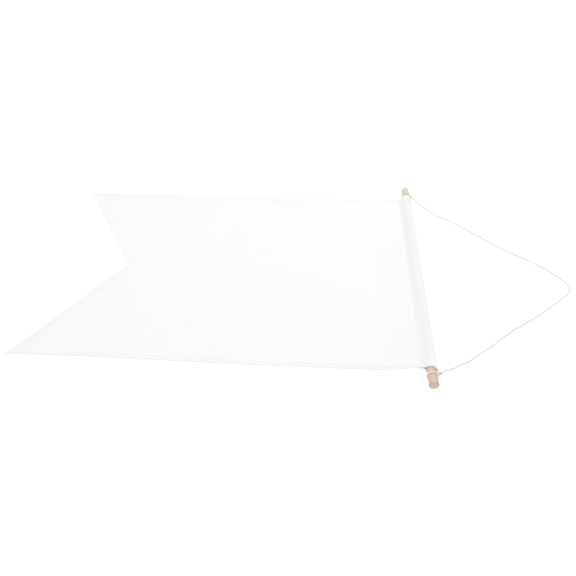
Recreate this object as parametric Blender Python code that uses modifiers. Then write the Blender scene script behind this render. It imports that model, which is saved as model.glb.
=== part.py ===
"""Garden flag: a blank swallow-tail cloth on a dowel rod, with a hanging cord tied to both rod ends.

It lies flat. The sleeve and the rod are at +X, the tails at -X, and the cord's loop lies beyond the sleeve.
The origin is on the ground, at the middle of the box of cloth and rod.
"""

import math

import bmesh
import bpy
from mathutils import Euler, Vector
from mathutils.geometry import interpolate_bezier

# Cloth panel
CLOTH_LENGTH = 0.450
CLOTH_WIDTH = 0.300
CLOTH_THICKNESS = 0.001
NOTCH_DEPTH = 0.092
CLOTH_MIDDLE_Y = 0.002

# Rod
ROD_DIAMETER = 0.010
ROD_LENGTH = 0.340
ROD_SIDES = 48
ROD_EDGE = 0.0005

# Cord and its knots
CORD_DIAMETER = 0.0015
CORD_POINTS = 80
SPAN_STEPS = 25
TAIL_POINTS = 10
RING_Y = {"near": -0.1574, "far": 0.1558}
RING_LEAN = {"near": 0.0024, "far": -0.0022}
RING_POINTS = 36
RING_TANGENT = math.radians(45)
KNOT_ANGLE = math.radians(12)
KNOT_TURNS = 3
KNOT_PITCH = 0.0011
KNOT_TURN_RADIUS = 0.0010
KNOT_FACE = 0.0004
KNOT_OVERLAP = 0.0006
TURN_SEGMENTS = 12
CORD_SIDES = 8
CORE_SIDES = 10
KNOT_TURN_TILT = math.radians(9)
KNOT_TURN_ROLL = math.radians(17)

# Clearance between pieces that touch
GAP = 0.00035
CORD_GAP = 0.00045
GROUND_GAP = 0.00005

# Sleeve: the cloth turned round the rod and sewn down along a seam
SLEEVE_GAP = 0.0004
SEAM_INSET = 0.0155
SEAM_ALLOWANCE = 0.0045
SEAM_LEVEL = 0.001
SEAM_LIFT_NEAR = 0.0066
SEAM_LIFT_FAR = 0.0019
RISE_NEAR = 0.038
RISE_FAR = 0.055
SLEEVE_SLIP = 0.002
SLEEVE_FLAT_DROP = 0.0003
UNDER_EASE = 0.4

# How finely the cloth is divided
ROWS = 24
FLAT_STEPS = 20
RISE_STEPS = 7
LEVEL_STEPS = 1
SLOPE_STEPS = 2
ARC_STEPS = 16
UNDER_STEPS = 6
ALLOWANCE_STEPS = 2

# Low swells of the laid cloth
SWELL_COLUMNS = ("x", "y", "half_length", "half_width", "height")
SWELLS = (
    (-0.140, -0.148, 0.190, 0.055, 0.0021),
    (0.135, 0.152, 0.110, 0.055, 0.0016),
)

# The cord's route between the knots, in metres: x, y and the height of its middle
CORD_ROUTE = (
    (0.2318, -0.1500, 0.0058),
    (0.2355, -0.1474, 0.0042),
    (0.2406, -0.1440, 0.0022),
    (0.2457, -0.1405, 0.0011),
    (0.2505, -0.1370, 0.0008),
    (0.2596, -0.1320, 0.0008),
    (0.2685, -0.1249, 0.0008),
    (0.2831, -0.1129, 0.0008),
    (0.2906, -0.1069, 0.0008),
    (0.2981, -0.0999, 0.0008),
    (0.3136, -0.0862, 0.0008),
    (0.3289, -0.0752, 0.0008),
    (0.3446, -0.0639, 0.0008),
    (0.3613, -0.0499, 0.0008),
    (0.3786, -0.0349, 0.0008),
    (0.3890, -0.0251, 0.0008),
    (0.3938, -0.0181, 0.0008),
    (0.3943, -0.0109, 0.0008),
    (0.3912, -0.0035, 0.0008),
    (0.3842, 0.0072, 0.0008),
    (0.3733, 0.0198, 0.0008),
    (0.3616, 0.0305, 0.0008),
    (0.3492, 0.0398, 0.0008),
    (0.3366, 0.0492, 0.0008),
    (0.3241, 0.0610, 0.0008),
    (0.3112, 0.0730, 0.0008),
    (0.2982, 0.0860, 0.0008),
    (0.2848, 0.0992, 0.0008),
    (0.2708, 0.1108, 0.0008),
    (0.2558, 0.1225, 0.0008),
    (0.2482, 0.1319, 0.0008),
    (0.2439, 0.1371, 0.0010),
    (0.2393, 0.1411, 0.0018),
    (0.2355, 0.1439, 0.0031),
    (0.2320, 0.1472, 0.0050),
)
LEAVE_DIRECTION = {"near": (0.62, 0.68, -0.41), "far": (0.54, -0.73, -0.42)}

# The free end at the near knot, lying over the sleeve's mouth
TAIL_ROUTE = (
    (0.2268, -0.1550, 0.0092),
    (0.2254, -0.1549, 0.0108),
    (0.2240, -0.1535, 0.0122),
    (0.2231, -0.1515, 0.0129),
    (0.2227, -0.1490, 0.0133),
    (0.2223, -0.1464, 0.0136),
)

# Worked out from the sizes above
HALF_THICKNESS = CLOTH_THICKNESS / 2
CORD_RADIUS = CORD_DIAMETER / 2
ROD_RADIUS = ROD_DIAMETER / 2
SLEEVE_RADIUS = ROD_RADIUS + SLEEVE_GAP + HALF_THICKNESS
OUTER_EDGE_X = CLOTH_LENGTH / 2
ROD_X = OUTER_EDGE_X - SLEEVE_RADIUS - HALF_THICKNESS
RING_RADIUS = ROD_RADIUS + GAP + CORD_RADIUS
ROD_Z = RING_RADIUS + CORD_RADIUS + GROUND_GAP
SEAM_X = OUTER_EDGE_X - SEAM_INSET
RISE_END = SEAM_X - SEAM_LEVEL
LAYER_PITCH = CLOTH_THICKNESS + GAP
NEAR_EDGE_Y = CLOTH_MIDDLE_Y - CLOTH_WIDTH / 2
KNOT_LENGTH = KNOT_TURNS * KNOT_PITCH + KNOT_FACE


def new_material(name, colour, roughness):
    material = bpy.data.materials.new(name)
    material.use_nodes = True
    shader = material.node_tree.nodes["Principled BSDF"]
    shader.inputs["Base Color"].default_value = (*colour, 1.0)
    shader.inputs["Roughness"].default_value = roughness
    shader.inputs["Metallic"].default_value = 0.0
    material.diffuse_color = (*colour, 1.0)
    return material


def add_part(name, data, material):
    part = bpy.data.objects.new(name, data)
    bpy.data.collections["garden_flag"].objects.link(part)
    data.materials.clear()
    data.materials.append(material)
    return part


def smooth_step(t):
    t = min(max(t, 0.0), 1.0)
    return t * t * (3 - 2 * t)


def mix(a, b, t):
    return a + (b - a) * t


def across(y):
    """0 at the cloth's near edge, 1 at its far edge."""
    return (y - NEAR_EDGE_Y) / CLOTH_WIDTH


def swell_height(x, y):
    total = 0.0
    for row in SWELLS:
        swell = dict(zip(SWELL_COLUMNS, row))
        along = abs(x - swell["x"]) / swell["half_length"]
        aside = abs(y - swell["y"]) / swell["half_width"]
        if along < 1 and aside < 1:
            shape = math.cos(along * math.pi / 2) * math.cos(aside * math.pi / 2)
            total += swell["height"] * shape**2
    return total


def rise_start(y):
    return RISE_END - mix(RISE_NEAR, RISE_FAR, across(y))


def front_height(x, y):
    """Height of the middle of the front layer, from the tails to the seam."""
    lift = mix(SEAM_LIFT_NEAR, SEAM_LIFT_FAR, across(y))
    start = rise_start(y)
    return HALF_THICKNESS + swell_height(x, y) + lift * smooth_step((x - start) / (RISE_END - start))


def tail_edge(y):
    """Where the cloth begins in a row: the tips at its sides, the notch in the middle."""
    inward = 1 - abs(y - CLOTH_MIDDLE_Y) / (CLOTH_WIDTH / 2)
    return NOTCH_DEPTH * inward - CLOTH_LENGTH / 2


def spaced(start, end, steps):
    """Values after start, up to and including end."""
    return [mix(start, end, (i + 1) / steps) for i in range(steps)]


def tangent_angle(seam_z):
    """The angle round the rod at which the front layer, coming from the seam, meets the sleeve's round."""
    to_seam = Vector((SEAM_X - ROD_X, seam_z - ROD_Z))
    return math.atan2(to_seam.y, to_seam.x) % math.tau - math.acos(SLEEVE_RADIUS / to_seam.length)


def round_point(angle):
    """A point of the sleeve's round, which sags to the ground below the rod."""
    reach = SLEEVE_RADIUS
    if angle < 0:
        reach = ROD_Z - HALF_THICKNESS + SLEEVE_FLAT_DROP
    z = ROD_Z + reach * math.sin(angle)
    return ROD_X + SLEEVE_RADIUS * math.cos(angle), max(z, HALF_THICKNESS)


def section(y):
    """The cloth's middle line in one row, as (x, z), from the tail to the turned-under edge."""
    edge = tail_edge(y)
    start = rise_start(y)
    front = [edge] + spaced(edge, start, FLAT_STEPS) + spaced(start, RISE_END, RISE_STEPS)
    front += spaced(RISE_END, SEAM_X, LEVEL_STEPS)
    line = [(x, front_height(x, y)) for x in front]

    seam_z = line[-1][1]
    angle = tangent_angle(seam_z)
    top = round_point(angle)
    slope = spaced(0.0, 1.0, SLOPE_STEPS)
    line += [(mix(SEAM_X, top[0], t), mix(seam_z, top[1], t)) for t in slope]

    line += [round_point(a) for a in spaced(angle, -math.pi / 2, ARC_STEPS)]

    bottom = Vector(line[-1])
    under_seam = Vector((SEAM_X, seam_z - LAYER_PITCH))
    reach = (bottom.x - under_seam.x) * UNDER_EASE
    curve = interpolate_bezier(
        bottom.to_3d(),
        (bottom - Vector((reach, 0))).to_3d(),
        (under_seam + Vector((reach, 0))).to_3d(),
        under_seam.to_3d(),
        UNDER_STEPS + 1,
    )
    line += [(point.x, point.y) for point in curve[1:]]

    hem = spaced(SEAM_X, SEAM_X - SEAM_ALLOWANCE, ALLOWANCE_STEPS)
    line += [(x, front_height(x, y) - LAYER_PITCH) for x in hem]
    return line


def slip(x):
    """The sleeve has slid a little along the rod, towards -Y."""
    return -SLEEVE_SLIP * smooth_step((x - SEAM_X) / (ROD_X - SEAM_X))


def make_cloth(material):
    steps = len(section(CLOTH_MIDDLE_Y)) - 1
    grid = bmesh.new()
    bmesh.ops.create_grid(grid, x_segments=steps, y_segments=ROWS, size=1.0)
    sections = []
    for row in range(ROWS + 1):
        y = NEAR_EDGE_Y + CLOTH_WIDTH * row / ROWS
        sections.append([Vector((x, y + slip(x), z)) for x, z in section(y)])
    for point in grid.verts:
        step = round((point.co.x + 1) / 2 * steps)
        row = round((point.co.y + 1) / 2 * ROWS)
        point.co = sections[row][step]
    mesh = bpy.data.meshes.new("flag_cloth")
    grid.to_mesh(mesh)
    grid.free()
    cloth = add_part("flag_cloth", mesh, material)
    layer = cloth.modifiers.new("cloth thickness", "SOLIDIFY")
    layer.thickness = CLOTH_THICKNESS
    layer.offset = 0.0
    layer.use_even_offset = True
    return cloth


def make_rod(material):
    bpy.ops.mesh.primitive_cylinder_add(vertices=ROD_SIDES, radius=ROD_RADIUS, depth=ROD_LENGTH)
    made = bpy.context.object
    rod = add_part("dowel_rod", made.data, material)
    bpy.data.objects.remove(made)
    rod.rotation_euler = (math.pi / 2, 0, 0)
    rod.location = (ROD_X, 0, ROD_Z)
    rod.data.shade_smooth()
    edge = rod.modifiers.new("worn end", "BEVEL")
    edge.width = ROD_EDGE
    edge.segments = 2
    edge.limit_method = "ANGLE"
    rod.data.set_sharp_from_angle(angle=math.radians(40))
    return rod


def smooth_route(points, count):
    """Points at even steps along a smooth curve through the given ones."""
    ends = [points[0] * 2 - points[1], *points, points[-1] * 2 - points[-2]]
    fine = []
    for before, a, b, after in zip(ends, ends[1:], ends[2:], ends[3:]):
        span = interpolate_bezier(a, a + (b - before) / 6, b - (after - a) / 6, b, SPAN_STEPS)
        fine += span[:-1]
    fine.append(points[-1])
    lengths = [0.0]
    for a, b in zip(fine, fine[1:]):
        lengths.append(lengths[-1] + (b - a).length)
    even = []
    i = 0
    for step in range(count):
        want = lengths[-1] * step / (count - 1)
        while i < len(fine) - 2 and lengths[i + 1] < want:
            i += 1
        even.append(fine[i].lerp(fine[i + 1], (want - lengths[i]) / (lengths[i + 1] - lengths[i])))
    return even


def cord_curve(name, points, closed=False):
    curve = bpy.data.curves.new(name, "CURVE")
    curve.dimensions = "3D"
    curve.bevel_depth = CORD_RADIUS
    curve.bevel_resolution = 2
    curve.use_fill_caps = True
    spline = curve.splines.new("POLY")
    spline.points.add(len(points) - 1)
    for place, point in zip(spline.points, points):
        place.co = (*point, 1.0)
    spline.use_cyclic_u = closed
    return curve


def ring_point(end, angle):
    """A point of the cord's ring round the rod. The ring is drawn out to the knot, and leans that way."""
    reach = RING_RADIUS
    if abs(angle) < RING_TANGENT:
        reach = RING_RADIUS / math.cos(RING_TANGENT - abs(angle))
    lean = RING_LEAN[end] * max(0.0, math.cos(angle)) ** 2
    turned = angle + KNOT_ANGLE
    return Vector((ROD_X + reach * math.cos(turned), RING_Y[end] + lean, ROD_Z + reach * math.sin(turned)))


def knot_direction(end):
    return Vector(LEAVE_DIRECTION[end]).normalized()


def knot_start(end):
    return ring_point(end, 0.0) - knot_direction(end) * KNOT_OVERLAP


def make_cord(material):
    start = knot_start("near") + knot_direction("near") * (KNOT_LENGTH + CORD_GAP)
    finish = knot_start("far") + knot_direction("far") * (KNOT_LENGTH + CORD_GAP)
    route = [start, *(Vector(point) for point in CORD_ROUTE), finish]
    return add_part("hanging_cord", cord_curve("hanging_cord", smooth_route(route, CORD_POINTS)), material)


def cutter(name, data):
    piece = bpy.data.objects.new(name, data)
    bpy.data.collections["cutters"].objects.link(piece)
    piece.hide_render = True
    piece.display_type = "WIRE"
    return piece


def turn_mesh():
    bpy.ops.mesh.primitive_torus_add(
        major_radius=KNOT_TURN_RADIUS,
        minor_radius=CORD_RADIUS,
        major_segments=TURN_SEGMENTS,
        minor_segments=CORD_SIDES,
    )
    made = bpy.context.object
    mesh = made.data
    bpy.data.objects.remove(made)
    return mesh


def core_mesh():
    mesh = bpy.data.meshes.new("core")
    shape = bmesh.new()
    bmesh.ops.create_cone(
        shape,
        cap_ends=True,
        segments=CORE_SIDES,
        radius1=KNOT_TURN_RADIUS,
        radius2=KNOT_TURN_RADIUS,
        depth=KNOT_LENGTH,
    )
    shape.to_mesh(mesh)
    shape.free()
    return mesh


def cord_mesh(name, points, closed=False):
    """A tube along the points, as a mesh whose caps are welded."""
    guide = bpy.data.objects.new(name, cord_curve(name, points, closed))
    bpy.data.collections["cutters"].objects.link(guide)
    mesh = bpy.data.meshes.new_from_object(guide.evaluated_get(bpy.context.evaluated_depsgraph_get()))
    curve = guide.data
    bpy.data.objects.remove(guide)
    bpy.data.curves.remove(curve)
    shape = bmesh.new()
    shape.from_mesh(mesh)
    bmesh.ops.remove_doubles(shape, verts=shape.verts, dist=0.00001)
    shape.to_mesh(mesh)
    shape.free()
    return mesh


def make_knot(end, material):
    """The cord's ring round the rod, joined to the turns of the knot and to the free end."""
    start = knot_start(end)
    direction = knot_direction(end)
    angles = [math.tau * step / RING_POINTS - math.pi for step in range(RING_POINTS)]
    ring_mesh = cord_mesh(end + "_knot", [ring_point(end, angle) for angle in angles], closed=True)
    ring = add_part(end + "_knot", ring_mesh, material)

    joined = []
    facing = direction.to_track_quat("Z", "Y")
    for turn in range(KNOT_TURNS):
        piece = cutter(f"{end} turn {turn}", turn_mesh())
        piece.location = start + direction * KNOT_PITCH * (turn + 0.5)
        lean = Euler((KNOT_TURN_TILT, 0, KNOT_TURN_ROLL * (turn + 1)))
        piece.rotation_euler = (facing @ lean.to_quaternion()).to_euler()
        joined.append(piece)
    core = cutter(end + " core", core_mesh())
    core.location = start + direction * KNOT_LENGTH / 2
    core.rotation_euler = facing.to_euler()
    joined.append(core)
    if end == "near":
        route = smooth_route([Vector(point) for point in TAIL_ROUTE], TAIL_POINTS)
        joined.append(cutter("free end", cord_mesh("free end", route)))

    for piece in joined:
        union = ring.modifiers.new("join " + piece.name, "BOOLEAN")
        union.operation = "UNION"
        union.object = piece
    return ring


def main():
    for old in list(bpy.data.objects):
        bpy.data.objects.remove(old)
    for name in ("garden_flag", "cutters"):
        bpy.context.scene.collection.children.link(bpy.data.collections.new(name))
    cloth_material = new_material("white cloth", (0.90, 0.90, 0.90), 0.85)
    wood_material = new_material("pale wood", (0.74, 0.55, 0.46), 0.60)
    cord_material = new_material("white cord", (0.86, 0.86, 0.85), 0.80)
    make_cloth(cloth_material)
    make_rod(wood_material)
    make_cord(cord_material)
    for end in RING_Y:
        make_knot(end, cord_material)


main()
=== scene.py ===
import math

import bmesh
import bpy
from mathutils import Matrix, Quaternion, Vector, noise
from mathutils.geometry import interpolate_bezier


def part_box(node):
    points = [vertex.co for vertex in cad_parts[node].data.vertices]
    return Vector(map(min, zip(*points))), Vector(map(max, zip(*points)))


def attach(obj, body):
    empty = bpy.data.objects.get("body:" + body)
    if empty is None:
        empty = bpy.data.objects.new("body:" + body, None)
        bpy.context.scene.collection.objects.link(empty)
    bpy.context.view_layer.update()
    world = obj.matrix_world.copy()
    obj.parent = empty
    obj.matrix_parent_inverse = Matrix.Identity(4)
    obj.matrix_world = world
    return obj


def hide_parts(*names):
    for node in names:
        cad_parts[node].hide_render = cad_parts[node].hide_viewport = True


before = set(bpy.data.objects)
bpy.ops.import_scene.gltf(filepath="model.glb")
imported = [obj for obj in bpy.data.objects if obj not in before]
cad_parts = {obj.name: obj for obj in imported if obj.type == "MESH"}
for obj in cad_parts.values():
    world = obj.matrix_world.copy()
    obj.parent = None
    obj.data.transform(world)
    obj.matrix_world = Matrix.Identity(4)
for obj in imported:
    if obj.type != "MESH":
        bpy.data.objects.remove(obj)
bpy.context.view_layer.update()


def linkNew(name, data):
    piece = bpy.data.objects.new(name, data)
    bpy.context.scene.collection.objects.link(piece)
    return piece


def mix(a, b, t):
    return a + (b - a) * t


def smoothStep(t):
    t = min(max(t, 0.0), 1.0)
    return t * t * (3 - 2 * t)


def spread(start, end, steps):
    # even steps after start, up to and with end
    return [mix(start, end, (i + 1) / steps) for i in range(steps)]


# the rod's place and size come from the frame
rodLow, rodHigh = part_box("dowel_rod")
rodX = (rodLow.x + rodHigh.x) / 2
rodZ = (rodLow.z + rodHigh.z) / 2
rodRadius = (rodHigh.x - rodLow.x) / 2
rodHalfLength = rodHigh.y


# camera, at the photo's angle

cameraSettings = {
    "place": (0.1001, -0.5300, 0.4715),
    "aim": (0.0664, -0.0305, 0.0),
    "rollDegrees": -0.584,
    "lens": 36.585,
    "sensor": 36.0,
    "nearest": 0.01,
}


def makeCamera(s):
    data = bpy.data.cameras.new("camera")
    data.lens = s["lens"]
    data.sensor_width = s["sensor"]
    data.clip_start = s["nearest"]
    camera = linkNew("camera", data)
    place = Vector(s["place"])
    look = (Vector(s["aim"]) - place).to_track_quat("-Z", "Y")
    roll = Quaternion((0, 0, 1), math.radians(s["rollDegrees"]))
    camera.rotation_mode = "QUATERNION"
    camera.location = place
    camera.rotation_quaternion = look @ roll
    bpy.context.scene.camera = camera


makeCamera(cameraSettings)
print("camera placed")


# node groups and materials

def addNode(tree, kind, **values):
    node = tree.nodes.new(kind)
    for key, value in values.items():
        setattr(node, key, value)
    return node


def setInputs(node, **values):
    for key, value in values.items():
        node.inputs[key.replace("_", " ")].default_value = value
    return node


def mathNode(tree, operation, first, second=None, clamp=False):
    node = addNode(tree, "ShaderNodeMath", operation=operation, use_clamp=clamp)
    for socket, value in zip(node.inputs, (first, second)):
        if value is None:
            continue
        if isinstance(value, (int, float)):
            socket.default_value = value
        else:
            tree.links.new(value, socket)
    return node.outputs["Value"]


def mixColour(tree, factor, first, second):
    node = addNode(tree, "ShaderNodeMix", data_type="RGBA")
    for name, kind, value in (("Factor", "VALUE", factor), ("A", "RGBA", first), ("B", "RGBA", second)):
        socket = [i for i in node.inputs if i.name == name and i.type == kind][0]
        if isinstance(value, (int, float)):
            socket.default_value = value
        elif isinstance(value, tuple):
            socket.default_value = (*value, 1.0)
        else:
            tree.links.new(value, socket)
    return [o for o in node.outputs if o.type == "RGBA"][0]


def mixFloat(tree, factor, first, second):
    node = addNode(tree, "ShaderNodeMix", data_type="FLOAT")
    sockets = [i for i in node.inputs if i.type == "VALUE"]
    for socket, value in zip(sockets, (factor, first, second)):
        tree.links.new(value, socket)
    return node.outputs[0]


def ramp(tree, value, stops):
    node = addNode(tree, "ShaderNodeValToRGB")
    node.color_ramp.interpolation = "EASE"
    elements = node.color_ramp.elements
    while len(elements) < len(stops):
        elements.new(0.5)
    for element, (at, shade) in zip(elements, stops):
        element.position = at
        element.color = (shade, shade, shade, 1.0)
    tree.links.new(value, node.inputs["Fac"])
    return node.outputs["Color"]


def makeFibreGroup():
    # short cotton fibres: a fine bump, and a soft mottle of light and dark
    tree = bpy.data.node_groups.new("cottonFibre", "ShaderNodeTree")
    tree.interface.new_socket("Vector", in_out="INPUT", socket_type="NodeSocketVector")
    for name in ("Fibre Scale", "Mottle Scale", "Mottle"):
        tree.interface.new_socket(name, in_out="INPUT", socket_type="NodeSocketFloat")
    tree.interface.new_socket("Shade", in_out="OUTPUT", socket_type="NodeSocketFloat")
    tree.interface.new_socket("Height", in_out="OUTPUT", socket_type="NodeSocketFloat")
    given = addNode(tree, "NodeGroupInput")
    result = addNode(tree, "NodeGroupOutput")
    fine = setInputs(addNode(tree, "ShaderNodeTexNoise"), Detail=3.0, Roughness=0.6)
    broad = setInputs(addNode(tree, "ShaderNodeTexNoise"), Detail=2.0, Roughness=0.5)
    for node, scale in ((fine, "Fibre Scale"), (broad, "Mottle Scale")):
        tree.links.new(given.outputs["Vector"], node.inputs["Vector"])
        tree.links.new(given.outputs[scale], node.inputs["Scale"])
    uneven = mathNode(tree, "SUBTRACT", broad.outputs["Fac"], 0.5)
    tree.links.new(mathNode(tree, "MULTIPLY", uneven, given.outputs["Mottle"]), result.inputs["Shade"])
    tree.links.new(fine.outputs["Fac"], result.inputs["Height"])
    return tree


def makeShadeGroup():
    # tints a colour by a mask: painted shade in the cord's grooves, wood grain, wood darker towards its
    # sawn rims, and wood showing through thin cloth together with painted shade on the sleeve
    tree = bpy.data.node_groups.new("shadeByMask", "ShaderNodeTree")
    tree.interface.new_socket("Colour", in_out="INPUT", socket_type="NodeSocketColor")
    tree.interface.new_socket("Tint", in_out="INPUT", socket_type="NodeSocketColor")
    tree.interface.new_socket("Mask", in_out="INPUT", socket_type="NodeSocketFloat")
    tree.interface.new_socket("Shade", in_out="INPUT", socket_type="NodeSocketFloat")
    tree.interface.new_socket("Colour", in_out="OUTPUT", socket_type="NodeSocketColor")
    given = addNode(tree, "NodeGroupInput")
    result = addNode(tree, "NodeGroupOutput")
    tinted = mixColour(tree, given.outputs["Mask"], given.outputs["Colour"], given.outputs["Tint"])
    lightness = addNode(tree, "ShaderNodeHueSaturation")
    tree.links.new(tinted, lightness.inputs["Color"])
    tree.links.new(mathNode(tree, "ADD", given.outputs["Shade"], 1.0), lightness.inputs["Value"])
    tree.links.new(lightness.outputs["Color"], result.inputs["Colour"])
    return tree


fibreGroup = makeFibreGroup()
shadeGroup = makeShadeGroup()


def useGroup(tree, group):
    node = addNode(tree, "ShaderNodeGroup")
    node.node_tree = group
    return node


def newMaterial(name, roughness, specular, sheen=0.0):
    material = bpy.data.materials.new(name)
    material.use_nodes = True
    shader = material.node_tree.nodes["Principled BSDF"]
    shader.inputs["Roughness"].default_value = roughness
    shader.inputs["Specular IOR Level"].default_value = specular
    shader.inputs["Sheen Weight"].default_value = sheen
    shader.inputs["Metallic"].default_value = 0.0
    return material, material.node_tree, shader


def bumpInto(tree, shader, height, strength, distance):
    bump = addNode(tree, "ShaderNodeBump")
    bump.inputs["Strength"].default_value = strength
    bump.inputs["Distance"].default_value = distance
    tree.links.new(height, bump.inputs["Height"])
    tree.links.new(bump.outputs["Normal"], shader.inputs["Normal"])


clothFinish = {
    "colour": (0.902, 0.900, 0.899),
    # where the rod shows through the thin cloth, and painted shade on the sleeve
    "underTint": (0.856, 0.853, 0.850),
    "roughness": 0.92,
    "specular": 0.18,
    "sheen": 0.08,
    "threadPitch": 0.00052,
    "fibreScale": 5200.0,
    "fibreShare": 0.35,       # of the fibres' bump beside the threads'
    "mottleScale": 26.0,
    "mottle": 0.012,
    "threadShade": 0.03,      # painted shade in the gaps between the threads, painted light on their tops
    "bumpStrength": 0.30,
    "bumpDepth": 0.00010,
}


def makeClothMaterial(s):
    material, tree, shader = newMaterial("whiteCanvas", s["roughness"], s["specular"], s["sheen"])
    uv = addNode(tree, "ShaderNodeUVMap", uv_map="threads")
    axes = addNode(tree, "ShaderNodeSeparateXYZ")
    tree.links.new(uv.outputs["UV"], axes.inputs["Vector"])
    waves = []
    for axis in ("X", "Y"):
        turn = mathNode(tree, "MULTIPLY", axes.outputs[axis], math.pi / s["threadPitch"])
        waves.append(mathNode(tree, "SINE", turn))
    over = mathNode(tree, "GREATER_THAN", mathNode(tree, "MULTIPLY", *waves), 0.0)
    warp, weft = (mathNode(tree, "ABSOLUTE", wave) for wave in waves)
    narrowWarp = mathNode(tree, "MULTIPLY", warp, mathNode(tree, "SQRT", weft))
    narrowWeft = mathNode(tree, "MULTIPLY", weft, mathNode(tree, "SQRT", warp))
    threads = mixFloat(tree, over, narrowWarp, narrowWeft)
    fibre = useGroup(tree, fibreGroup)
    setInputs(fibre, Fibre_Scale=s["fibreScale"], Mottle_Scale=s["mottleScale"], Mottle=s["mottle"])
    tree.links.new(uv.outputs["UV"], fibre.inputs["Vector"])
    fluff = mathNode(tree, "MULTIPLY", fibre.outputs["Height"], s["fibreShare"])
    height = mathNode(tree, "ADD", threads, fluff)
    bumpInto(tree, shader, height, s["bumpStrength"], s["bumpDepth"])

    under = addNode(tree, "ShaderNodeAttribute", attribute_name="underlay")
    gapShade = mathNode(tree, "MULTIPLY", mathNode(tree, "SUBTRACT", threads, 0.5), s["threadShade"])
    shade = mathNode(tree, "ADD", fibre.outputs["Shade"], gapShade)
    # painted shade on the sleeve, mixed with the rod showing through thin cloth and the hems' own tint
    shaded = setInputs(useGroup(tree, shadeGroup), Colour=(*s["colour"], 1), Tint=(*s["underTint"], 1))
    tree.links.new(under.outputs["Fac"], shaded.inputs["Mask"])
    tree.links.new(shade, shaded.inputs["Shade"])
    tree.links.new(shaded.outputs["Colour"], shader.inputs["Base Color"])
    return material


cottonFinish = {
    "colour": (0.735, 0.735, 0.735),
    "grooveShadeTint": (0.66, 0.66, 0.66),
    "roughness": 0.90,
    "specular": 0.20,
    "sheen": 0.15,
    "fibreScale": 6500.0,
    "mottleScale": 180.0,
    "mottle": 0.08,
    "bumpStrength": 0.45,
    "bumpDepth": 0.00006,
}

# where the cord is knotted it is painted paler and warmer, painted light for the raised knots lit from
# above and warmed by light off the wood; the sewing thread is finer
litKnotFinish = dict(cottonFinish, colour=(0.895, 0.875, 0.855), grooveShadeTint=(0.79, 0.77, 0.75), mottle=0.06)
threadFinish = dict(cottonFinish, colour=(0.87, 0.87, 0.87), fibreScale=9000.0, mottle=0.05)


def makeCottonMaterial(name, s):
    material, tree, shader = newMaterial(name, s["roughness"], s["specular"], s["sheen"])
    place = addNode(tree, "ShaderNodeTexCoord")
    fibre = useGroup(tree, fibreGroup)
    setInputs(fibre, Fibre_Scale=s["fibreScale"], Mottle_Scale=s["mottleScale"], Mottle=s["mottle"])
    tree.links.new(place.outputs["Object"], fibre.inputs["Vector"])
    grooveShade = addNode(tree, "ShaderNodeAttribute", attribute_name="grooveShade")
    shaded = setInputs(useGroup(tree, shadeGroup), Colour=(*s["colour"], 1), Tint=(*s["grooveShadeTint"], 1))
    tree.links.new(grooveShade.outputs["Fac"], shaded.inputs["Mask"])
    tree.links.new(fibre.outputs["Shade"], shaded.inputs["Shade"])
    tree.links.new(shaded.outputs["Colour"], shader.inputs["Base Color"])
    bumpInto(tree, shader, fibre.outputs["Height"], s["bumpStrength"], s["bumpDepth"])
    return material


woodFinish = {
    "pinkSide": (0.735, 0.548, 0.452),
    "strawSide": (0.785, 0.690, 0.565),
    "grainTint": (0.560, 0.375, 0.285),
    "endFace": (0.745, 0.620, 0.520),
    "endTint": (0.400, 0.285, 0.215),
    "roughness": 0.62,
    "specular": 0.32,
    "grainRoughness": 0.62,
    # scale, stretch along the rod, detail, and the ramp from none to the most
    "grain": (420.0, 0.035, 4.0, ((0.36, 0.0), (0.70, 0.55))),
    "flecks": (1500.0, 0.16, 2.0, ((0.58, 0.0), (0.72, 0.55))),
    "ringScale": 260.0,
    "ringDistortion": 1.6,
    "ringDetail": 2.0,
    "ringDetailScale": 1.4,
    "ringCentre": (0.0085, 0, 0.0060),
    "ringShare": 0.30,
    "rim": ((0.70, 0.0), (0.97, 0.85)),
    "endDepth": 0.00035,      # how far from an end the sawn face's colour begins
    "endSharpness": 6000.0,
    "bumpStrength": 0.35,
    "bumpDepth": 0.00008,
}


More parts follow.
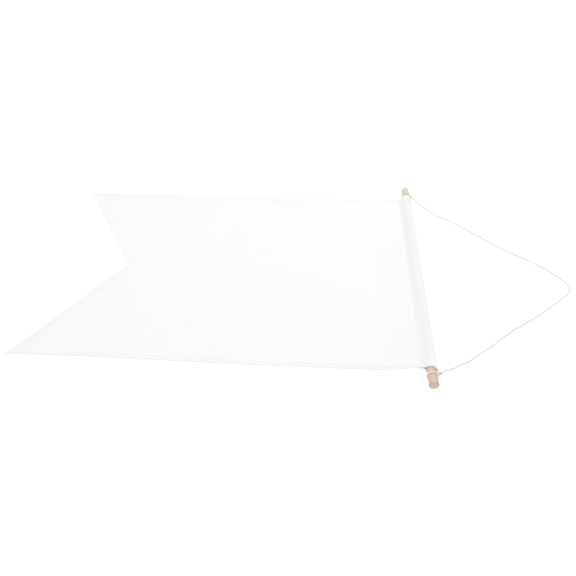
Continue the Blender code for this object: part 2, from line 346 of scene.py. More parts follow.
def makeWoodMaterial(s):
    material, tree, shader = newMaterial("sandedWood", s["roughness"], s["specular"])
    place = addNode(tree, "ShaderNodeTexCoord")
    centred = addNode(tree, "ShaderNodeMapping")
    centred.inputs["Location"].default_value = (-rodX, 0, -rodZ)
    tree.links.new(place.outputs["Object"], centred.inputs["Vector"])

    # long streaks and short flecks run with the rod
    streaks = []
    for scale, along, detail, stops in (s["grain"], s["flecks"]):
        drawn = addNode(tree, "ShaderNodeMapping")
        drawn.inputs["Scale"].default_value = (1, along, 1)
        tree.links.new(centred.outputs["Vector"], drawn.inputs["Vector"])
        grain = addNode(tree, "ShaderNodeTexNoise")
        setInputs(grain, Scale=scale, Detail=detail, Roughness=s["grainRoughness"])
        tree.links.new(drawn.outputs["Vector"], grain.inputs["Vector"])
        streaks.append(ramp(tree, grain.outputs["Fac"], stops))
    sideMask = mathNode(tree, "MAXIMUM", *streaks)

    axes = addNode(tree, "ShaderNodeSeparateXYZ")
    tree.links.new(centred.outputs["Vector"], axes.inputs["Vector"])
    farness = mathNode(tree, "MULTIPLY_ADD", axes.outputs["Y"], 0.5 / rodHalfLength)
    farness.node.inputs[2].default_value = 0.5
    side = mixColour(tree, farness, s["pinkSide"], s["strawSide"])

    # sawn ends: growth rings off the middle, and darker towards the rim
    ringPlace = addNode(tree, "ShaderNodeMapping")
    ringPlace.inputs["Location"].default_value = s["ringCentre"]
    ringPlace.inputs["Scale"].default_value = (1, 0.001, 1)
    tree.links.new(centred.outputs["Vector"], ringPlace.inputs["Vector"])
    rings = addNode(tree, "ShaderNodeTexWave", wave_type="RINGS", rings_direction="Y")
    setInputs(rings, Scale=s["ringScale"], Distortion=s["ringDistortion"])
    setInputs(rings, Detail=s["ringDetail"], Detail_Scale=s["ringDetailScale"])
    tree.links.new(ringPlace.outputs["Vector"], rings.inputs["Vector"])
    radial = addNode(tree, "ShaderNodeVectorMath", operation="LENGTH")
    flat = addNode(tree, "ShaderNodeMapping")
    flat.inputs["Scale"].default_value = (1, 0, 1)
    tree.links.new(centred.outputs["Vector"], flat.inputs["Vector"])
    tree.links.new(flat.outputs["Vector"], radial.inputs[0])
    outward = mathNode(tree, "DIVIDE", radial.outputs["Value"], rodRadius)
    rim = ramp(tree, outward, s["rim"])
    faintRings = mathNode(tree, "MULTIPLY", rings.outputs["Fac"], s["ringShare"])
    endMask = mathNode(tree, "MAXIMUM", faintRings, rim)
    fromMiddle = mathNode(tree, "ABSOLUTE", axes.outputs["Y"])
    fromEnd = mathNode(tree, "SUBTRACT", fromMiddle, rodHalfLength - s["endDepth"])
    isEnd = mathNode(tree, "MULTIPLY", fromEnd, s["endSharpness"], clamp=True)

    colour = mixColour(tree, isEnd, side, s["endFace"])
    tint = mixColour(tree, isEnd, s["grainTint"], s["endTint"])
    mask = mixFloat(tree, isEnd, sideMask, endMask)
    shaded = useGroup(tree, shadeGroup)
    tree.links.new(colour, shaded.inputs["Colour"])
    tree.links.new(tint, shaded.inputs["Tint"])
    tree.links.new(mask, shaded.inputs["Mask"])
    tree.links.new(shaded.outputs["Colour"], shader.inputs["Base Color"])
    bumpInto(tree, shader, mathNode(tree, "SUBTRACT", 1.0, mask), s["bumpStrength"], s["bumpDepth"])
    return material


clothMaterial = makeClothMaterial(clothFinish)
cordMaterial = makeCottonMaterial("cottonCord", cottonFinish)
litKnotMaterial = makeCottonMaterial("knottedCottonLit", litKnotFinish)
threadMaterial = makeCottonMaterial("sewingThread", threadFinish)
woodMaterial = makeWoodMaterial(woodFinish)
print("materials made")


# hanging cord and its knots: cotton laid up of three strands

cordSettings = {
    "diameter": 0.0015,
    "length": 0.455,
    "step": 0.00042,
    "layLength": 0.0039,
    "strandShare": 0.64,      # a strand's radius, as a share of the cord's
    "strandOffset": 0.38,
    "strands": 3,
    "tubeResolution": 2,
    "tubeSides": 8,           # the sides that this resolution gives
    "grooveShadeDepth": (0.68, 0.98),   # shares of the radius with all of the groove's painted shade, and none
    "openFrom": 0.75,         # a frayed end opens over the rest of its length
    "weld": 0.000001,
    "route": (
        (0.2318, -0.1500, 0.0058), (0.2355, -0.1474, 0.0042), (0.2406, -0.1440, 0.0022),
        (0.2457, -0.1405, 0.0011), (0.2505, -0.1370, 0.0008), (0.2596, -0.1320, 0.0008),
        (0.2685, -0.1249, 0.0008), (0.2831, -0.1129, 0.0008), (0.2906, -0.1069, 0.0008),
        (0.2981, -0.0999, 0.0008), (0.3136, -0.0862, 0.0008), (0.3289, -0.0752, 0.0008),
        (0.3446, -0.0639, 0.0008), (0.3613, -0.0499, 0.0008), (0.3786, -0.0349, 0.0008),
        (0.3890, -0.0251, 0.0008), (0.3938, -0.0181, 0.0008), (0.3943, -0.0109, 0.0008),
        (0.3912, -0.0035, 0.0008), (0.3842, 0.0072, 0.0008), (0.3733, 0.0198, 0.0008),
        (0.3616, 0.0305, 0.0008), (0.3492, 0.0398, 0.0008), (0.3366, 0.0492, 0.0008),
        (0.3241, 0.0610, 0.0008), (0.3112, 0.0730, 0.0008), (0.2982, 0.0860, 0.0008),
        (0.2848, 0.0992, 0.0008), (0.2708, 0.1108, 0.0008), (0.2558, 0.1225, 0.0008),
        (0.2482, 0.1319, 0.0008), (0.2439, 0.1371, 0.0010), (0.2393, 0.1411, 0.0018),
        (0.2355, 0.1439, 0.0031), (0.2320, 0.1472, 0.0050),
    ),
}

knotSettings = {
    "ringY": {"near": -0.1576, "far": 0.1543},
    "ringLean": {"near": 0.0024, "far": -0.0012},
    "leave": {"near": (0.62, 0.68, -0.41), "far": (0.54, -0.73, -0.42)},
    "apexReach": 0.0076,      # from the rod's axis to where the ring's two runs meet
    "apexAngle": 12,
    "overlap": 0.0006,
    "cordGap": 0.00500,       # from the knot's start to the free cord
    "ringGap": 0.00003,
    "ringSteps": 16,
    "ringPitch": 0.00064,     # the ring's ends lie this far apart along the rod
    "ringPinch": 0.45,
    "leanSharpness": 6,
    "runsApart": 0.00076,
    "runsInto": 0.0016,       # how far the ring's two runs go into the knot
    "turns": 2.6,
    "turnStart": 2.4,
    "turnSteps": 26,
    "turnRadius": 0.00118,
    "turnSpan": (0.0005, 0.0029),
    "waver": 0.00022,
    "waverStart": 0.7,
    "crossSweep": 2.6,
    "crossSteps": 5,
    "crossEnd": 0.0003,
    "crossRadius": 0.00185,
    "standingOverlap": 0.0002,
    "standingGap": 0.00002,
    "tailSplay": 0.45,
    "tail": (
        (0.2260, -0.1548, 0.0084), (0.2247, -0.1540, 0.0090), (0.2240, -0.1528, 0.0102),
        (0.2230, -0.1519, 0.0113), (0.2216, -0.1512, 0.0122), (0.2201, -0.1508, 0.0127),
    ),
}


def routeLength(points):
    return sum((b - a).length for a, b in zip(points, points[1:]))


def evenSteps(points, count):
    # the same line, cut into equal steps
    reached = [0.0]
    for a, b in zip(points, points[1:]):
        reached.append(reached[-1] + (b - a).length)
    even = []
    i = 0
    for k in range(count + 1):
        want = reached[-1] * k / count
        while i < len(points) - 2 and reached[i + 1] < want:
            i += 1
        even.append(points[i].lerp(points[i + 1], (want - reached[i]) / (reached[i + 1] - reached[i])))
    return even


def smoothRoute(points, step, curveSteps=25):
    points = [Vector(p) for p in points]
    ends = [points[0] * 2 - points[1], *points, points[-1] * 2 - points[-2]]
    fine = []
    for before, a, b, after in zip(ends, ends[1:], ends[2:], ends[3:]):
        fine += interpolate_bezier(a, a + (b - before) / 6, b - (after - a) / 6, b, curveSteps)[:-1]
    fine.append(points[-1])
    return evenSteps(fine, max(3, round(routeLength(fine) / step)))


def strandLines(centres, s, splay=0.0):
    # lines that wind round the centre line; splay spreads them at the last end
    radius = s["diameter"] / 2
    tangents = []
    for i in range(len(centres)):
        tangents.append((centres[min(i + 1, len(centres) - 1)] - centres[max(i - 1, 0)]).normalized())
    normal = tangents[0].orthogonal().normalized()
    lines = [[] for _ in range(s["strands"])]
    travelled = 0.0
    for i, (centre, tangent) in enumerate(zip(centres, tangents)):
        if i:
            normal = tangents[i - 1].rotation_difference(tangent) @ normal
            travelled += (centre - centres[i - 1]).length
        share = i / (len(centres) - 1)
        opened = 1 + splay * smoothStep((share - s["openFrom"]) / (1 - s["openFrom"]))
        for k, line in enumerate(lines):
            turn = math.tau * (travelled / s["layLength"] + k / s["strands"])
            aside = Quaternion(tangent, turn) @ normal
            line.append(centre + aside * radius * s["strandOffset"] * opened)
    return lines


def tubeMesh(name, lines, radius, resolution):
    curve = bpy.data.curves.new(name, "CURVE")
    curve.dimensions = "3D"
    curve.bevel_depth = radius
    curve.bevel_resolution = resolution
    curve.use_fill_caps = True
    for line in lines:
        spline = curve.splines.new("POLY")
        spline.points.add(len(line) - 1)
        for place, point in zip(spline.points, line):
            place.co = (*point, 1.0)
    guide = linkNew(name + "Guide", curve)
    mesh = bpy.data.meshes.new_from_object(guide.evaluated_get(bpy.context.evaluated_depsgraph_get()))
    mesh.name = name
    bpy.data.objects.remove(guide)
    bpy.data.curves.remove(curve)
    return mesh


def cordMesh(name, routes, s):
    # every route becomes its strands; the mesh says how deep a point lies between them, for painted shade
    # in the grooves
    shape = bmesh.new()
    grooveShade = shape.verts.layers.float.new("grooveShade")
    radius = s["diameter"] / 2
    inner, outer = s["grooveShadeDepth"]
    for centres, splay in routes:
        lines = strandLines(centres, s, splay)
        mesh = tubeMesh(name, lines, radius * s["strandShare"], s["tubeResolution"])
        start = len(shape.verts)
        shape.from_mesh(mesh)
        bpy.data.meshes.remove(mesh)
        shape.verts.ensure_lookup_table()
        for k, vert in enumerate(shape.verts[start:]):
            centre = centres[k // s["tubeSides"] % len(centres)]
            depth = (vert.co - centre).length / radius
            # painted shade: the deeper a point lies between the strands, the darker its cotton
            vert[grooveShade] = 1 - smoothStep((depth - inner) / (outer - inner))
    bmesh.ops.remove_doubles(shape, verts=shape.verts, dist=s["weld"])
    bmesh.ops.recalc_face_normals(shape, faces=shape.faces)
    for face in shape.faces:
        face.smooth = True
    mesh = bpy.data.meshes.new(name)
    shape.to_mesh(mesh)
    shape.free()
    return mesh


def apexPoint(end):
    s = knotSettings
    turn = math.radians(s["apexAngle"])
    reach = s["apexReach"]
    y = s["ringY"][end] + s["ringLean"][end]
    return Vector((rodX + reach * math.cos(turn), y, rodZ + reach * math.sin(turn)))


def leaveDirection(end):
    return Vector(knotSettings["leave"][end]).normalized()


def knotStart(end):
    return apexPoint(end) - leaveDirection(end) * knotSettings["overlap"]


def cordStart(end):
    return knotStart(end) + leaveDirection(end) * knotSettings["cordGap"]


def makeCord(s):
    centres = smoothRoute([cordStart("near"), *s["route"], cordStart("far")], s["step"])
    piece = linkNew("hangingCord", cordMesh("hangingCord", [(centres, 0.0)], s))
    piece.data.materials.append(cordMaterial)
    print("cord from knot to knot:", round(routeLength(centres), 4), "m")
    return piece, centres


def ringRoute(end):
    # out of the knot, round the rod and back into the knot
    s = knotSettings
    radius = rodRadius + cordSettings["diameter"] / 2 + s["ringGap"]
    lift = math.radians(s["apexAngle"])
    meet = math.acos(radius / s["apexReach"])
    side = Vector((0, s["runsApart"] / 2, 0))
    into = leaveDirection(end) * s["runsInto"]
    points = [apexPoint(end) + into + side]
    pinch = meet * s["ringPinch"]
    free = [mix(meet, math.tau - meet, i / s["ringSteps"]) for i in range(s["ringSteps"] + 1)]
    turns = [pinch, *free, math.tau - pinch]
    for turn in turns:
        reach = radius
        if turn < meet:
            reach = radius / math.cos(meet - turn)
        if turn > math.tau - meet:
            reach = radius / math.cos(turn - math.tau + meet)
        lean = s["ringLean"][end] * max(0.0, math.cos(turn)) ** s["leanSharpness"]
        around = mix(s["ringPitch"] / 2, -s["ringPitch"] / 2, turn / math.tau)
        y = s["ringY"][end] + lean + around
        angle = turn + lift
        points.append(Vector((rodX + reach * math.cos(angle), y, rodZ + reach * math.sin(angle))))
    points.append(apexPoint(end) + into - side)
    return points


def turnRoute(end):
    # the turns round the cord's own standing part, then one run back across them
    s = knotSettings
    axis = leaveDirection(end)
    first = axis.cross(Vector((0, 0, 1))).normalized()
    second = axis.cross(first)
    start = knotStart(end)

    def place(turn, along, reach):
        return start + axis * along + (first * math.cos(turn) + second * math.sin(turn)) * reach

    points = []
    for i in range(s["turnSteps"] + 1):
        t = i / s["turnSteps"]
        turn = math.tau * s["turns"] * t + s["turnStart"]
        along = mix(*s["turnSpan"], t) + s["waver"] * math.sin(turn + s["waverStart"])
        points.append(place(turn, along, s["turnRadius"]))
    last = math.tau * s["turns"] + s["turnStart"]
    for t in spread(0.0, 1.0, s["crossSteps"]):
        along = mix(s["turnSpan"][1], s["crossEnd"], smoothStep(t))
        reach = mix(s["turnRadius"], s["crossRadius"], math.sin(math.pi * t))
        points.append(place(last + s["crossSweep"] * t, along, reach))
    return points


def makeKnot(end):
    s = cordSettings
    leave = leaveDirection(end)
    standing = [
        apexPoint(end) - leave * knotSettings["standingOverlap"],
        cordStart(end) - leave * knotSettings["standingGap"],
    ]
    routes = [
        (smoothRoute(ringRoute(end), s["step"]), 0.0),
        (smoothRoute(turnRoute(end), s["step"]), 0.0),
        (smoothRoute(standing, s["step"]), 0.0),
    ]
    if end == "near":
        routes.append((smoothRoute(knotSettings["tail"], s["step"]), knotSettings["tailSplay"]))
    piece = linkNew(end + "Knot", cordMesh(end + "Knot", routes, s))
    # the knots take the lit copy of the cotton: painted light
    piece.data.materials.append(litKnotMaterial)
    return piece


cordPiece, cordCentres = makeCord(cordSettings)
knotPieces = {end: makeKnot(end) for end in ("near", "far")}
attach(cordPiece, "root")
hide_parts("hanging_cord")
for end, knot in knotPieces.items():
    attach(knot, "root")
    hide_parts(end + "_knot")
print("cord and knots made")


# dowel rod

rodSettings = {
    "sides": 72,
    "edgeRadius": 0.00045,
    "edgeSegments": 3,
    "endUneven": 0.00005,
    "unevenScale": 900,
    "capInset": 0.0006,
    "sharpDegrees": 50,
}


def rodCaps(shape):
    return [face for face in shape.faces if len(face.verts) > 4]


def makeRod(s):
    shape = bmesh.new()
    bmesh.ops.create_cone(
        shape,
        cap_ends=True,
        segments=s["sides"],
        radius1=rodRadius,
        radius2=rodRadius,
        depth=2 * rodHalfLength,
    )
    rims = [edge for cap in rodCaps(shape) for edge in cap.edges]
    bmesh.ops.bevel(
        shape,
        geom=rims,
        offset=s["edgeRadius"],
        segments=s["edgeSegments"],
        profile=0.5,
        affect="EDGES",
        material=-1,
    )
    bmesh.ops.inset_region(shape, faces=rodCaps(shape), thickness=s["capInset"], use_even_offset=True)
    bmesh.ops.poke(shape, faces=rodCaps(shape))
    for vert in shape.verts:
        if abs(vert.co.z) > rodHalfLength - 2 * s["edgeRadius"]:
            rough = 0.5 + noise.noise(vert.co * s["unevenScale"])
            vert.co.z -= math.copysign(s["endUneven"], vert.co.z) * rough
    bmesh.ops.rotate(shape, verts=shape.verts, cent=(0, 0, 0), matrix=Matrix.Rotation(math.pi / 2, 3, "X"))
    bmesh.ops.translate(shape, verts=shape.verts, vec=(rodX, 0, rodZ))
    mesh = bpy.data.meshes.new("dowelRod")
    shape.to_mesh(mesh)
    shape.free()
    mesh.shade_smooth()
    mesh.set_sharp_from_angle(angle=math.radians(s["sharpDegrees"]))
    piece = linkNew("dowelRod", mesh)
    mesh.materials.append(woodMaterial)
    return piece


rodPiece = makeRod(rodSettings)
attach(rodPiece, "root")
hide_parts("dowel_rod")
print("rod made")


# flag cloth: one sheet, hemmed at its open edges, turned round the rod and sewn down

clothSettings = {
    "length": 0.450,
    "width": 0.300,
    "middleY": 0.002,
    "notch": 0.092,
    "thickness": 0.00048,
    "hemThickness": 0.00092,
    "hemWidth": 0.0060,
    "hemLines": (0.0, 0.0007, 0.0020, 0.0034, 0.0043, 0.0052, 0.0060, 0.0067),
    "stitchInset": 0.0043,
    "stitchGroove": 0.00012,
    "lineTolerance": 0.0001,           # how near a line of the grid counts as on the stitches
    "rodGap": 0.00022,
    "mouthDepth": 0.012,               # how far in from its mouths the sleeve is drawn to the rod
    "mouthOpening": 0.3,
    "seamInset": 0.0155,
    "seamAllowance": 0.0045,
    "seamLift": (0.0066, 0.0019),      # at the near edge, at the far one
    "rise": (0.038, 0.055),
    "riseLevel": 0.001,
    "slopeShowAndShade": (0.35, 0.0),          # how much of the rod shows through at the slope's foot, with painted shade
    "slopeShowAndShadeGain": 0.45,             # and how much more at the slope's top, with painted shade on the steeper slope
    "underShow": 0.5,
    "hemShow": (0.6, 0.12),            # what a hem takes from these, and its own tint
    "slip": 0.002,
    "layerGap": 0.00006,
    "underEase": 0.4,
    "floorReach": 0.0003,              # the sleeve's underside aims this far below the floor
    "sagAngle": 0.9,
    "pucker": 0.00010,
    "puckerReach": (0.005, 0.004),     # by the sleeve's seam, by the hems
    "puckerScale": (190, 170, 9),      # along the seam, along the hems, across them
    "uneven": 0.00010,
    "unevenScale": 14,
    "roundUnevenScale": 45,
    "noiseRows": {"flat": 2.0, "seam": 3.1, "round": 5.0, "hem": 7.7},
    "edgeShare": 0.42,                 # of the thickness, rolled over at the cut edges
    "edgeDegrees": 60,
    "rows": 112,
    "flatSteps": 140,
    "riseSteps": 22,
    "slopeSteps": 4,
    "arcSteps": 26,
    "underSteps": 10,
    "wrapSteps": 12,
    "allowanceSteps": 3,
    "swellColumns": ("x", "y", "halfLength", "halfWidth", "height"),
    "swells": (
        (-0.140, -0.148, 0.190, 0.055, 0.0021),
        (0.135, 0.152, 0.110, 0.055, 0.0016),
    ),
}

halfWidth = clothSettings["width"] / 2
nearY = clothSettings["middleY"] - halfWidth
outerX = clothSettings["length"] / 2
seamX = outerX - clothSettings["seamInset"]
riseEnd = seamX - clothSettings["riseLevel"]
# along X, the slanted hems of the tail are this much wider
hemSlant = math.hypot(1, clothSettings["notch"] / halfWidth)


def clothRows(s):
    # distances from the near edge, close together at the hems
    hem = list(s["hemLines"])
    inner = spread(hem[-1], s["width"] - hem[-1], s["rows"])
    return hem + inner[:-1] + [s["width"] - d for d in reversed(hem)]


def edgeDistance(v, s):
    return min(v, s["width"] - v)


def swellHeight(x, y, s):
    total = 0.0
    for row in s["swells"]:
        swell = dict(zip(s["swellColumns"], row))
        along = abs(x - swell["x"]) / swell["halfLength"]
        aside = abs(y - swell["y"]) / swell["halfWidth"]
        if along < 1 and aside < 1:
            total += swell["height"] * (math.cos(along * math.pi / 2) * math.cos(aside * math.pi / 2)) ** 2
    return total


def puckerHeight(x, y, v, s):
    # small gathers beside the stitched lines
    seamReach, hemReach = s["puckerReach"]
    alongSeam, alongHem, acrossHem = s["puckerScale"]
    bySeam = math.exp(-(((x - seamX) / seamReach) ** 2))
    byHem = math.exp(-(((edgeDistance(v, s) - s["hemWidth"]) / hemReach) ** 2))
    seamNoise = 1 + noise.noise(Vector((s["noiseRows"]["seam"], y * alongSeam, 0)))
    hemNoise = 1 + noise.noise(Vector((x * alongHem, s["noiseRows"]["hem"], v * acrossHem)))
    return s["pucker"] * (bySeam * seamNoise + byHem * hemNoise)


def isHem(distance, s):
    return distance < s["hemWidth"] + s["lineTolerance"]


def stitchDip(distance, s):
    return s["stitchGroove"] if abs(distance - s["stitchInset"]) < s["lineTolerance"] else 0.0


def frontHeight(x, y, v, thick, s):
    t = (y - nearY) / s["width"]
    start = riseEnd - mix(*s["rise"], t)
    lift = mix(*s["seamLift"], t)
    scale = s["unevenScale"]
    wave = s["uneven"] * (1 + noise.noise(Vector((x * scale, y * scale, s["noiseRows"]["flat"]))))
    height = thick / 2 + swellHeight(x, y, s) + wave + puckerHeight(x, y, v, s)
    return height + lift * smoothStep((x - start) / (riseEnd - start))


def clothSection(v, s):
    # one row of the sheet's middle line: place, thickness and how far its colour is darkened, for the rod
    # showing through and for painted shade on the sleeve
    y = nearY + v
    edge = s["notch"] * (1 - abs(y - s["middleY"]) / halfWidth) - outerX
    t = (y - nearY) / s["width"]
    start = riseEnd - mix(*s["rise"], t)
    rowThick = s["hemThickness"] if isHem(edgeDistance(v, s), s) else s["thickness"]
    dip = stitchDip(edgeDistance(v, s), s)
    line = []

    def add(x, z, thick, under):
        line.append({"x": x, "z": z - dip, "thick": thick, "under": under})

    lastHem = s["hemLines"][-1]
    for d in s["hemLines"]:
        thick = s["hemThickness"] if isHem(d, s) else rowThick
        x = edge + d * hemSlant
        add(x, frontHeight(x, y, v, thick, s) - stitchDip(d, s), thick, 0.0)
    flat = spread(edge + lastHem * hemSlant, start, s["flatSteps"])
    shownAndShaded = mix(*s["slopeShowAndShade"], t)
    for x in flat + spread(start, seamX, s["riseSteps"]):
        under = smoothStep((x - start) / (seamX - start)) * shownAndShaded
        add(x, frontHeight(x, y, v, rowThick, s), rowThick, under)
    seamZ = line[-1]["z"] + dip

    # up to the sleeve's round, over it and back under the front
    wrapRadius = rodRadius + s["rodGap"] + rowThick / 2
    wrapNoise = noise.noise(Vector((s["noiseRows"]["round"], y * s["roundUnevenScale"], 0)))
    wrapRadius += s["uneven"] * (1 + wrapNoise)
    sagged = rodZ - rowThick / 2 + s["floorReach"]
    drawn = 1 - smoothStep(edgeDistance(v, s) / s["mouthDepth"])
    toSeam = Vector((seamX - rodX, seamZ - rodZ))
    seamAngle = math.atan2(toSeam.y, toSeam.x) % math.tau
    opening = math.acos(wrapRadius / toSeam.length) * mix(1, s["mouthOpening"], drawn)
    angle = seamAngle - opening

    def roundPoint(a):
        reach = wrapRadius
        if a < 0:
            reach = mix(wrapRadius, sagged, min(1.0, -a / s["sagAngle"]))
        return rodX + wrapRadius * math.cos(a), max(rodZ + reach * math.sin(a), rowThick / 2)

    top = roundPoint(angle)
    for k in spread(0.0, 1.0, s["slopeSteps"]):
        under = mix(shownAndShaded, shownAndShaded + s["slopeShowAndShadeGain"], k)
        add(mix(seamX, top[0], k), mix(seamZ, top[1], k), rowThick, under)
    # over the round the colour is darkened fully: rod showing through, and painted shade on the sleeve's
    # flank
    for a in spread(angle, -math.pi / 2, s["arcSteps"]):
        add(*roundPoint(a), rowThick, 1.0)
    bottom = Vector((line[-1]["x"], line[-1]["z"] + dip, 0))
    pitch = rowThick + s["layerGap"]
    meet = Vector((seamX, seamZ - pitch, 0))
    ease = Vector(((bottom.x - meet.x) * s["underEase"], 0, 0))
    loose = interpolate_bezier(bottom, bottom - ease, meet + ease, meet, s["underSteps"] + 1)
    wrapAngles = spread(-math.pi / 2, seamAngle + opening - math.tau, s["wrapSteps"])
    wrapped = [Vector((*roundPoint(a), 0)) for a in wrapAngles]
    tight = evenSteps([bottom, *wrapped, meet], s["underSteps"])
    for a, b in zip(loose[1:], tight[1:]):
        p = a.lerp(b, drawn)
        add(p.x, p.y, rowThick, s["underShow"])
    for x in spread(seamX, seamX - s["seamAllowance"], s["allowanceSteps"]):
        add(x, frontHeight(x, y, v, rowThick, s) - pitch, rowThick, s["underShow"])
    return line


def slipAt(x, s):
    return -s["slip"] * smoothStep((x - seamX) / (rodX - seamX))


def seamColumnOf(s):
    return len(s["hemLines"]) + s["flatSteps"] + s["riseSteps"] - 1


def threadPlaces(line, s):
    # along the cloth: X up to the seam, then the distance walked round the sleeve
    along = [point["x"] for point in line]
    for i in range(seamColumnOf(s) + 1, len(line)):
        step = math.hypot(line[i]["x"] - line[i - 1]["x"], line[i]["z"] - line[i - 1]["z"])
        along[i] = along[i - 1] + step
    return along


def makeCloth(s):
    rows = clothRows(s)
    sections = [clothSection(v, s) for v in rows]
    columns = len(sections[0])
    grid = bmesh.new()
    bmesh.ops.create_grid(grid, x_segments=columns - 1, y_segments=len(rows) - 1, size=1.0)
    uvLayer = grid.loops.layers.uv.new("threads")
    underLayer = grid.verts.layers.float.new("underlay")
    groups = grid.verts.layers.deform.new()
    placed = {}
    surface = [[None] * columns for _ in rows]
    hemTakes, hemTint = s["hemShow"]
    threads = [threadPlaces(line, s) for line in sections]
    for vert in grid.verts:
        column = round((vert.co.x + 1) / 2 * (columns - 1))
        row = round((vert.co.y + 1) / 2 * (len(rows) - 1))
        placed[vert.index] = (row, column)
    for vert in grid.verts:
        row, column = placed[vert.index]
        point = sections[row][column]
        y = nearY + rows[row]
        vert.co = (point["x"], y + slipAt(point["x"], s), point["z"])
        hem = (point["thick"] - s["thickness"]) / (s["hemThickness"] - s["thickness"])
        vert[underLayer] = max(point["under"] * (1 - hemTakes * hem), hemTint * hem)
        vert[groups][0] = hem
        surface[row][column] = vert.co.copy()
    for face in grid.faces:
        face.smooth = True
        for loop in face.loops:
            row, column = placed[loop.vert.index]
            loop[uvLayer].uv = (threads[row][column], rows[row])
    mesh = bpy.data.meshes.new("flagSheet")
    grid.to_mesh(mesh)
    grid.free()
    sheet = linkNew("flagSheet", mesh)
    sheet.vertex_groups.new(name="hem")
    wall = sheet.modifiers.new("thickness", "SOLIDIFY")
    wall.thickness = s["hemThickness"]
    wall.offset = 0.0
    wall.use_even_offset = True
    wall.vertex_group = "hem"
    wall.thickness_vertex_group = s["thickness"] / s["hemThickness"]
    edge = sheet.modifiers.new("rolled edge", "BEVEL")
    edge.width = s["thickness"] * s["edgeShare"]
    edge.segments = 2
    edge.limit_method = "ANGLE"
    edge.angle_limit = math.radians(s["edgeDegrees"])
    done = bpy.data.meshes.new_from_object(sheet.evaluated_get(bpy.context.evaluated_depsgraph_get()))
    done.name = "flagCloth"
    bpy.data.objects.remove(sheet)
    piece = linkNew("flagCloth", done)
    done.materials.append(clothMaterial)
    lengths = [along[-1] - along[0] for along in threads]
    flatLength = max(lengths)
    area = sum((a + b) / 2 * (w - v) for a, b, v, w in zip(lengths, lengths[1:], rows, rows[1:]))
    print("cloth cut:", round(s["width"], 3), "x", round(flatLength, 4), "m, area", round(area, 4))
    return piece, surface, sections, flatLength, area


clothPiece, surface, sections, flatLength, clothArea = makeCloth(clothSettings)


# stitches: one small lens of thread each, along the hems and the sleeve's seam

stitchSettings = {
    "length": 0.0023,
    "gap": 0.0008,
    "radius": 0.00017,
    "lift": 0.000052,         # its middle stands this far above the cloth
    "leanDegrees": 5,
    "sides": 6,
    "rings": 5,
}


def surfaceLine(cells):
    # places and upward normals on the sheet's outer face, for a run of (row, column)
    line = []
    for row, column in cells:
        rowBefore, rowAfter = max(row - 1, 0), min(row + 1, len(surface) - 1)
        columnBefore, columnAfter = max(column - 1, 0), min(column + 1, len(surface[0]) - 1)
        alongX = surface[row][columnAfter] - surface[row][columnBefore]
        alongY = surface[rowAfter][column] - surface[rowBefore][column]
        normal = alongX.cross(alongY).normalized()
        thick = sections[row][column]["thick"]
        line.append((surface[row][column] + normal * thick / 2, normal))
    return line


def addStitches(shape, line, s):
    reached = [0.0]
    for (a, _), (b, _) in zip(line, line[1:]):
        reached.append(reached[-1] + (b - a).length)
    pitch = s["length"] + s["gap"]
    count = int(reached[-1] / pitch)
    i = 0
    for k in range(count):
        middle = (k + 0.5) * pitch
        while reached[i + 1] < middle:
            i += 1
        t = (middle - reached[i]) / (reached[i + 1] - reached[i])
        place = line[i][0].lerp(line[i + 1][0], t)
        along = (line[i + 1][0] - line[i][0]).normalized()
        up = line[i][1]
        up = (up - along * up.dot(along)).normalized()
        turn = Matrix((along, up.cross(along), up)).transposed().to_4x4()
        size = Matrix.Diagonal((s["length"] / 2, s["radius"], s["radius"], 1))
        lean = Matrix.Rotation(math.radians(s["leanDegrees"]), 4, "Z")
        matrix = Matrix.Translation(place + up * s["lift"]) @ turn @ lean @ size
        bmesh.ops.create_uvsphere(
            shape,
            u_segments=s["sides"],
            v_segments=s["rings"],
            radius=1.0,
            matrix=matrix,
        )
    return count


def makeStitches(s):
    shape = bmesh.new()
    shape.verts.layers.float.new("grooveShade")
    cloth = clothSettings
    stitchAt = cloth["hemLines"].index(cloth["stitchInset"])
    lastRow = len(surface) - 1 - stitchAt
    seamColumn = seamColumnOf(cloth)
    lastColumn = seamColumn + cloth["slopeSteps"] + cloth["arcSteps"]
    runs = [
        [(stitchAt, c) for c in range(stitchAt, lastColumn)],
        [(lastRow, c) for c in range(stitchAt, lastColumn)],
        [(r, stitchAt) for r in range(stitchAt, lastRow + 1)],
        [(r, seamColumn) for r in range(len(surface))],
    ]
    total = sum(addStitches(shape, surfaceLine(run), s) for run in runs)
    for face in shape.faces:
        face.smooth = True
    mesh = bpy.data.meshes.new("hemStitches")
    shape.to_mesh(mesh)
    shape.free()
    piece = linkNew("hemStitches", mesh)
    mesh.materials.append(threadMaterial)
    print("stitches:", total)
    return piece


stitchPiece = makeStitches(stitchSettings)
for piece in (clothPiece, stitchPiece):
    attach(piece, "root")
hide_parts("flag_cloth")
print("cloth and stitches made")


# floor and light

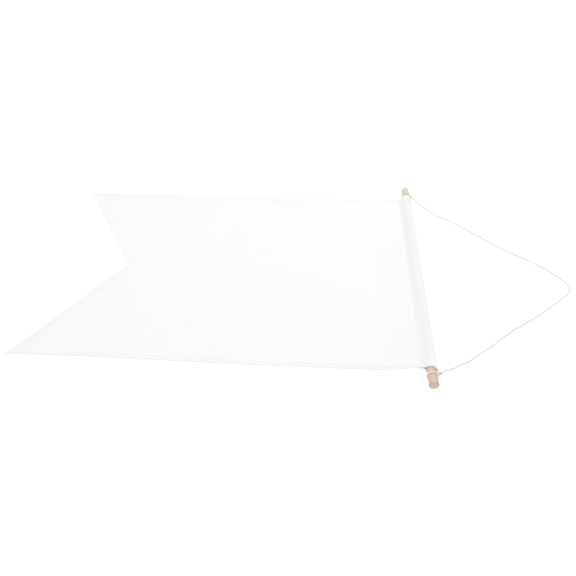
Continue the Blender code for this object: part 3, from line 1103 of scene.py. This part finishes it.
studioSettings = {
    "floorColour": (0.30, 0.30, 0.30),
    "floorGlow": 0.84,
    "floorHalfSize": 4.0,
    "floorDrop": 0.00015,
    "floorRoughness": 0.95,
    "floorSpecular": 0.1,
    "worldStrength": 0.56,
    "lamps": (
        # name, place, aim, size, watts
        ("softbox", (0.14, 0.16, 1.30), (0.10, 0.0, 0.0), 1.2, 10.0),
        ("sideFill", (-2.4, 0.5, 1.1), (0.0, 0.0, 0.0), 1.4, 8.0),
        ("backFill", (2.2, 0.9, 0.9), (0.2, 0.0, 0.0), 1.4, 7.0),
    ),
}


def makeFloor(s):
    shape = bmesh.new()
    bmesh.ops.create_grid(shape, x_segments=1, y_segments=1, size=s["floorHalfSize"])
    bmesh.ops.translate(shape, verts=shape.verts, vec=(0, 0, -s["floorDrop"]))
    mesh = bpy.data.meshes.new("floor")
    shape.to_mesh(mesh)
    shape.free()
    floor = linkNew("floor", mesh)
    material, _, shader = newMaterial("paleFloor", s["floorRoughness"], s["floorSpecular"])
    shader.inputs["Base Color"].default_value = (*s["floorColour"], 1.0)
    shader.inputs["Emission Color"].default_value = (1, 1, 1, 1)
    shader.inputs["Emission Strength"].default_value = s["floorGlow"]
    mesh.materials.append(material)


def makeLight(s):
    world = bpy.data.worlds.new("studio")
    bpy.context.scene.world = world
    world.use_nodes = True
    tree = world.node_tree
    soft = tree.nodes["Background"]
    soft.inputs["Color"].default_value = (1, 1, 1, 1)
    soft.inputs["Strength"].default_value = s["worldStrength"]
    seen = addNode(tree, "ShaderNodeBackground")
    seen.inputs["Color"].default_value = (1, 1, 1, 1)
    path = addNode(tree, "ShaderNodeLightPath")
    both = addNode(tree, "ShaderNodeMixShader")
    tree.links.new(path.outputs["Is Camera Ray"], both.inputs["Fac"])
    tree.links.new(soft.outputs["Background"], both.inputs[1])
    tree.links.new(seen.outputs["Background"], both.inputs[2])
    tree.links.new(both.outputs["Shader"], tree.nodes["World Output"].inputs["Surface"])
    for name, place, aim, size, watts in s["lamps"]:
        data = bpy.data.lights.new(name, "AREA")
        data.shape = "SQUARE"
        data.size = size
        data.energy = watts
        lamp = linkNew(name, data)
        lamp.location = place
        look = (Vector(aim) - Vector(place)).to_track_quat("-Z", "Y")
        lamp.rotation_euler = look.to_euler()


makeFloor(studioSettings)
makeLight(studioSettings)
bpy.context.scene.view_settings.view_transform = "Standard"
bpy.context.scene.view_settings.look = "None"
print("studio made")
